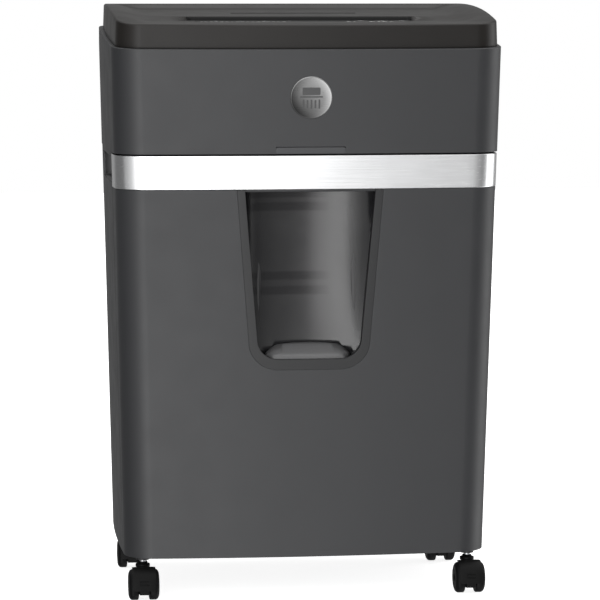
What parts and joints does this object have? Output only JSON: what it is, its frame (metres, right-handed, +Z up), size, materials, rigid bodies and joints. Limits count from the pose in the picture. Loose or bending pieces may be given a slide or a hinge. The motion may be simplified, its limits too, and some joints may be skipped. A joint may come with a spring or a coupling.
{
  "type": "paper shredder",
  "caption": "Floor-standing office shredder: cutter head over a cabinet on twin-wheel casters, with a pull-out bin behind a silver band and a scooped window.",
  "frame": {"origin": "on the floor under the middle of the object's box, with the casters trailing backwards", "axes": "+Z up, -Y towards the user in front, +X to the right as the user sees it"},
  "size_m": [0.38, 0.256, 0.574],
  "materials": {
    "cabinet_plastic": "moulded plastic, fine satin texture",
    "black_plastic": "moulded plastic, fine texture",
    "deck_plastic": "satin brown-black plastic",
    "overlay_gloss": "printed gloss overlay",
    "key_plastic": "satin keys with plain printed symbols",
    "lens": "clear light pipes",
    "silver_band": "silver lacquered plastic",
    "silver_badge": "plain spun disc",
    "frame_plastic": "dark satin plastic",
    "smoked_window": "smoked clear plastic",
    "zinc_steel": "zinc plated",
    "cutter_steel": "hardened, oiled",
    "bush_brass": "sintered bronze",
    "comb_nylon": "natural nylon",
    "gear_nylon": "natural nylon",
    "motor_steel": "black painted can",
    "circuit_board": "solder mask",
    "caster_nylon": "black nylon"
  },
  "bodies": {
    "root": {"cabinet_shell": "cabinet_plastic", "base_plate": "black_plastic", "caster_stems": "zinc_steel", "bin_rails": "zinc_steel", "head_skirt": "cabinet_plastic", "head_floor": "black_plastic", "top_deck": "deck_plastic", "control_overlay": "overlay_gloss", "indicator_lenses": "lens", "head_tab": "cabinet_plastic", "badge_disc": "silver_badge", "feed_throat": "black_plastic", "left_side_plate": "zinc_steel", "right_side_plate": "zinc_steel", "tie_rods": "zinc_steel", "cutter_bushes": "bush_brass", "front_stripper_comb": "comb_nylon", "rear_stripper_comb": "comb_nylon", "gear_stud": "zinc_steel", "motor_can": "motor_steel", "control_board": "circuit_board", "interlock_switch": "black_plastic", "cord_gland": "black_plastic", "rocker_bezel": "black_plastic", "rear_cover": "cabinet_plastic", "cover_screws": "zinc_steel"},
    "bin": {"bin_front_panel": "cabinet_plastic", "bin_band": "silver_band", "window_frame": "frame_plastic", "scoop_window": "smoked_window", "bin_tub": "black_plastic", "bin_screws": "zinc_steel"},
    "front_cutter_shaft": {"front_cutter": "cutter_steel", "front_sync_gear": "cutter_steel"},
    "rear_cutter_shaft": {"rear_cutter": "cutter_steel", "rear_sync_gear": "cutter_steel", "main_gear": "cutter_steel"},
    "reduction_gear": {"compound_gear": "gear_nylon"},
    "motor_armature": {"motor_pinion": "cutter_steel"},
    "auto_key": {"auto_key": "key_plastic"},
    "reverse_key": {"reverse_key": "key_plastic"},
    "forward_key": {"forward_key": "key_plastic"},
    "power_rocker": {"power_rocker": "black_plastic"},
    "interlock_plunger": {"interlock_plunger": "comb_nylon"},
    "caster_fl": {"caster_fl_housing": "caster_nylon", "caster_fl_axle": "zinc_steel"},
    "caster_fl_wheel_l": {"caster_fl_wheel_l": "caster_nylon"},
    "caster_fl_wheel_r": {"caster_fl_wheel_r": "caster_nylon"},
    "caster_fr": {"caster_fr_housing": "caster_nylon", "caster_fr_axle": "zinc_steel"},
    "caster_fr_wheel_l": {"caster_fr_wheel_l": "caster_nylon"},
    "caster_fr_wheel_r": {"caster_fr_wheel_r": "caster_nylon"},
    "caster_rl": {"caster_rl_housing": "caster_nylon", "caster_rl_axle": "zinc_steel"},
    "caster_rl_wheel_l": {"caster_rl_wheel_l": "caster_nylon"},
    "caster_rl_wheel_r": {"caster_rl_wheel_r": "caster_nylon"},
    "caster_rr": {"caster_rr_housing": "caster_nylon", "caster_rr_axle": "zinc_steel"},
    "caster_rr_wheel_l": {"caster_rr_wheel_l": "caster_nylon"},
    "caster_rr_wheel_r": {"caster_rr_wheel_r": "caster_nylon"}
  },
  "joints": [
    {"name": "bin_slide", "type": "slide", "parent": "root", "child": "bin", "axis": [0, -1, 0], "range_m": [0, 0.2]},
    {"name": "front_cutter_spin", "type": "hinge", "parent": "root", "child": "front_cutter_shaft", "pos_m": [0, -0.0545, 0.48], "axis": [1, 0, 0], "continuous": true},
    {"name": "rear_cutter_spin", "type": "hinge", "parent": "root", "child": "rear_cutter_shaft", "pos_m": [0, -0.0085, 0.48], "axis": [1, 0, 0], "continuous": true},
    {"name": "reduction_gear_spin", "type": "hinge", "parent": "root", "child": "reduction_gear", "pos_m": [0.138, 0.038, 0.48], "axis": [1, 0, 0], "continuous": true},
    {"name": "motor_spin", "type": "hinge", "parent": "root", "child": "motor_armature", "pos_m": [0.08, 0.06793, 0.5], "axis": [1, 0, 0], "continuous": true},
    {"name": "auto_key_press", "type": "slide", "parent": "root", "child": "auto_key", "axis": [0, 0, -1], "range_m": [0, 0.0008], "stiffness_N_per_m": 600},
    {"name": "reverse_key_press", "type": "slide", "parent": "root", "child": "reverse_key", "axis": [0, 0, -1], "range_m": [0, 0.0008], "stiffness_N_per_m": 600},
    {"name": "forward_key_press", "type": "slide", "parent": "root", "child": "forward_key", "axis": [0, 0, -1], "range_m": [0, 0.0008], "stiffness_N_per_m": 600},
    {"name": "power_rocker_tilt", "type": "hinge", "parent": "root", "child": "power_rocker", "pos_m": [-0.052, 0.122, 0.462], "axis": [1, 0, 0], "range_deg": [-14, 0]},
    {"name": "interlock_press", "type": "slide", "parent": "root", "child": "interlock_plunger", "axis": [0, 1, 0], "range_m": [0, 0.0015], "stiffness_N_per_m": 400},
    {"name": "caster_fl_swivel", "type": "hinge", "parent": "root", "child": "caster_fl", "pos_m": [-0.1596, -0.082, 0.036], "axis": [0, 0, 1], "continuous": true},
    {"name": "caster_fl_wheel_l_roll", "type": "hinge", "parent": "caster_fl", "child": "caster_fl_wheel_l", "pos_m": [-0.1596, -0.094, 0.015], "axis": [1, 0, 0], "continuous": true},
    {"name": "caster_fl_wheel_r_roll", "type": "hinge", "parent": "caster_fl", "child": "caster_fl_wheel_r", "pos_m": [-0.1596, -0.094, 0.015], "axis": [1, 0, 0], "continuous": true},
    {"name": "caster_fr_swivel", "type": "hinge", "parent": "root", "child": "caster_fr", "pos_m": [0.1596, -0.082, 0.036], "axis": [0, 0, 1], "continuous": true},
    {"name": "caster_fr_wheel_l_roll", "type": "hinge", "parent": "caster_fr", "child": "caster_fr_wheel_l", "pos_m": [0.1596, -0.094, 0.015], "axis": [1, 0, 0], "continuous": true},
    {"name": "caster_fr_wheel_r_roll", "type": "hinge", "parent": "caster_fr", "child": "caster_fr_wheel_r", "pos_m": [0.1596, -0.094, 0.015], "axis": [1, 0, 0], "continuous": true},
    {"name": "caster_rl_swivel", "type": "hinge", "parent": "root", "child": "caster_rl", "pos_m": [-0.1596, 0.0912, 0.036], "axis": [0, 0, 1], "continuous": true},
    {"name": "caster_rl_wheel_l_roll", "type": "hinge", "parent": "caster_rl", "child": "caster_rl_wheel_l", "pos_m": [-0.1596, 0.0792, 0.015], "axis": [1, 0, 0], "continuous": true},
    {"name": "caster_rl_wheel_r_roll", "type": "hinge", "parent": "caster_rl", "child": "caster_rl_wheel_r", "pos_m": [-0.1596, 0.0792, 0.015], "axis": [1, 0, 0], "continuous": true},
    {"name": "caster_rr_swivel", "type": "hinge", "parent": "root", "child": "caster_rr", "pos_m": [0.1596, 0.0912, 0.036], "axis": [0, 0, 1], "continuous": true},
    {"name": "caster_rr_wheel_l_roll", "type": "hinge", "parent": "caster_rr", "child": "caster_rr_wheel_l", "pos_m": [0.1596, 0.0792, 0.015], "axis": [1, 0, 0], "continuous": true},
    {"name": "caster_rr_wheel_r_roll", "type": "hinge", "parent": "caster_rr", "child": "caster_rr_wheel_r", "pos_m": [0.1596, 0.0792, 0.015], "axis": [1, 0, 0], "continuous": true}
  ],
  "couplings": [
    {"joint": "rear_cutter_spin", "follows": "front_cutter_spin", "ratio": -1},
    {"joint": "reduction_gear_spin", "follows": "front_cutter_spin", "ratio": 3.4286},
    {"joint": "motor_spin", "follows": "front_cutter_spin", "ratio": -17.143}
  ]
}
